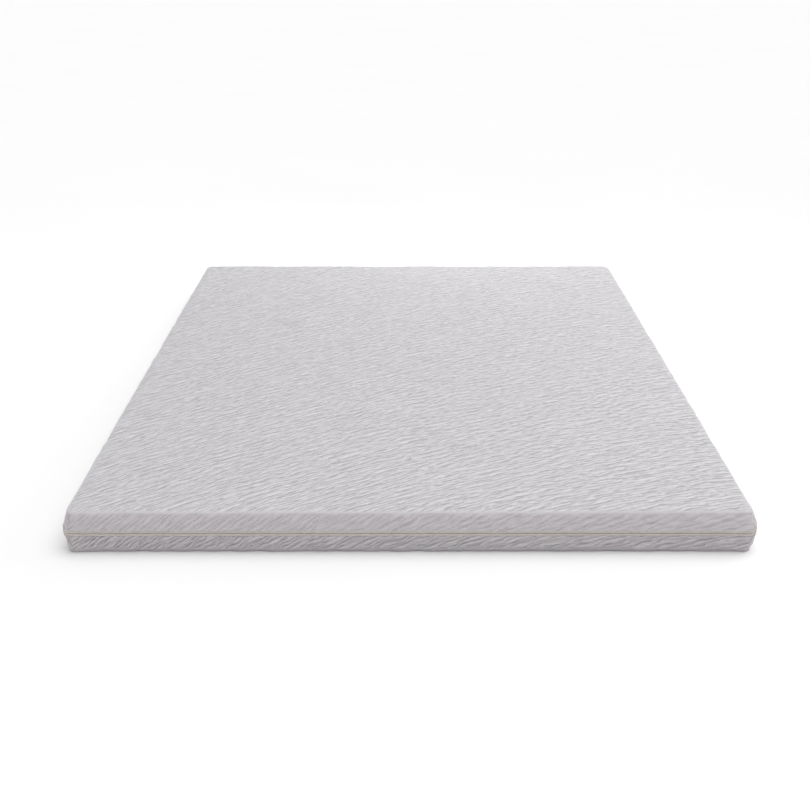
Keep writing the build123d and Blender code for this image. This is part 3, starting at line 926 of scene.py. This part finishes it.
def sleeveEnd(name, node, way):
    # the boxed end: a profile from the top round to the bottom, carried along a U in plan
    low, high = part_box(node)
    edge, radius = core["sleeveEdge"] * mm, core["sleeveRadius"] * mm
    side, front = high.x - radius, min(abs(low.y), abs(high.y))
    x = np.linspace(-side, side, 150)
    turn = np.linspace(0, pi / 2, 11)
    centre = np.concatenate([np.tile((-side, 0), (len(turn), 1)), np.stack([x, 0 * x], 1)[1:-1],
                             np.tile((side, 0), (len(turn), 1))])
    out = np.concatenate([np.stack([-np.cos(turn), np.sin(turn)], 1), np.tile((0, 1), (len(x) - 2, 1)),
                          np.stack([np.sin(turn), np.cos(turn)], 1)])
    bend = np.linspace(0, pi / 2, 7)[1:]
    head = np.stack([radius - edge + edge * np.sin(bend), high.z - edge + edge * np.cos(bend)], 1)
    wall = np.stack([np.full(8, radius), np.linspace(high.z - edge, low.z + edge, 10)[1:-1]], 1)
    flats = np.linspace(0, radius - edge, 6)
    profile = np.concatenate([np.stack([flats, 0 * flats + high.z], 1), head, wall,
                              head[::-1] * (1, -1) + (0, high.z + low.z),
                              np.stack([flats[::-1], 0 * flats + low.z], 1)])
    around, course = lengthAlong(profile), lengthAlong(centre + out * radius)
    reach = profile[:, :1]
    deep = creases(around[:, None], course[None])
    deep = deep * ease(reach, 5 * mm, 25 * mm)
    slope = unit(np.gradient(profile, axis=0))
    flat = centre[None] + out[None] * (reach + slope[:, 1:] * deep)[..., None]
    points = np.stack([flat[..., 0], way * (front + flat[..., 1]),
                       profile[:, 1:] - slope[:, :1] * deep], 2).reshape(-1, 3)
    faces = gridFaces(len(profile), len(centre))
    return makePiece(name, points, [faces], [gridUv(around, course)], weld=1e-6)


# cotton and polyester jersey, knitted thin: matt white, limp, with faint vertical wales
thinJersey = shadedMaterial("thinCottonJersey", {"Roughness": 0.9, "IOR": 1.5, "Sheen Weight": 0.2},
                            blotches("#d9d9d7", "#e3e3e1", 60, 4, "fabric"),
                            [(ribs(1.8, "X", 0.8, 2.0), 0.25, 0.2), (grain(18, 4, "fabric"), 0.4, 1.2)])
sleevePieces = [settle(sleeveTube("innerSleeve", "inner_sleeve"), thinJersey, ["inner_sleeve"])]
for name, node, way in (("sleeveEndFront", "sleeve_end_front", -1), ("sleeveEndBack", "sleeve_end_back", 1)):
    sleevePieces.append(settle(sleeveEnd(name, node, way), thinJersey, [node]))
for piece, flat in zip(sleevePieces, ((3.13, 1.882), (1.55, 0.18), (1.55, 0.18))):
    wall = piece.modifiers.new("thickness", "SOLIDIFY")
    wall.thickness, wall.offset = core["sleeveThick"] * mm, -1
print("core made")


# die-cast zinc slider, tumbled and lacquered: dull pale gloss in faintly blotchy tones
def lacquerGloss(tree):
    return remap(tree, noise(tree, place(tree), 3, 3), 0.3, 0.7, 0.3, 0.42)


castZinc = shadedMaterial("castZincLacquered", {"Metallic": 0.6, "IOR": 1.5, "Coat Weight": 0.3},
                          blotches("#c9c1b3", "#d8d0c2", 4, 4), [(grain(1.0, 3), 0.12, 0.1)], lacquerGloss)
for node in ("zip_slider", "zip_pull", "upper_end_stops", "lower_end_stops"):
    data = frame["nodes"][node].data
    data.materials.clear()
    data.materials.append(castZinc if node.startswith("zip") else nylonCoil)

# studio: a white floor that runs out of view, soft daylight all round and a soft key above the right
floorMesh = bpy.data.meshes.new("studioFloor")
floorMesh.from_pydata([(x, y, -0.5 * mm) for x, y in ((-30, -20), (30, -20), (30, 60), (-30, 60))],
                      [], [(0, 1, 2, 3)])
studioFloor = addObject("studioFloor", floorMesh)
floorMesh.materials.append(shadedMaterial(
    "matteWhitePaint", {"Roughness": 0.9, "Specular IOR Level": 0.1},
    lambda tree: ramp(tree, grain(900, 2)(tree), [(0, "#f5f5f5"), (1, "#f8f8f8")])))

# the sky is white down at the horizon and softer above it; two soft boxes lift the rear and right
light = {
    "sky": 0.64,
    "horizon": 1.0,
    "keyLight": ("SUN", 1.60, 60, None, (3, 12)),  # power, softness in degrees, turn
    "rearSoftbox": ("AREA", 5.0, 1.2, (0.3, 1.7, 0.65), (-42, 5)),  # watts, size, place, turn
    "rightSoftbox": ("AREA", 6.0, 1.2, (1.9, -0.1, 1.15), (0, 55)),
    "sideDim": 0.45,  # how much dimmer the sky is to the left and right
}
world = bpy.data.worlds.new("studioSky")
world.use_nodes = True
sky = world.node_tree
toward = addNode(sky, "SeparateXYZ", inputs={0: addNode(sky, "TexCoord").outputs["Generated"]}).outputs
sideways = reckon(sky, "ABSOLUTE", toward["X"])
above = remap(sky, sideways, 0.3, 1.0, light["sky"], light["sky"] * (1 - light["sideDim"]))
strength = remap(sky, toward["Z"], 0.02, 0.17, light["horizon"], above)
sky.links.new(strength, sky.nodes["Background"].inputs["Strength"])
sky.nodes["Background"].inputs["Color"].default_value = linear("#ffffff")
bpy.context.scene.world = world
for name in ("keyLight", "rearSoftbox", "rightSoftbox"):
    kind, power, soft, spot, turn = light[name]
    lamp = addObject(name, bpy.data.lights.new(name, kind))
    lamp.data.energy = power
    lamp.rotation_euler = Euler((radians(turn[0]), radians(turn[1]), 0))
    if kind == "SUN":
        lamp.data.angle = radians(soft)
    else:
        lamp.data.size = soft
        lamp.location = spot
        lamp.visible_camera = False
bpy.context.scene.view_settings.view_transform = "Standard"
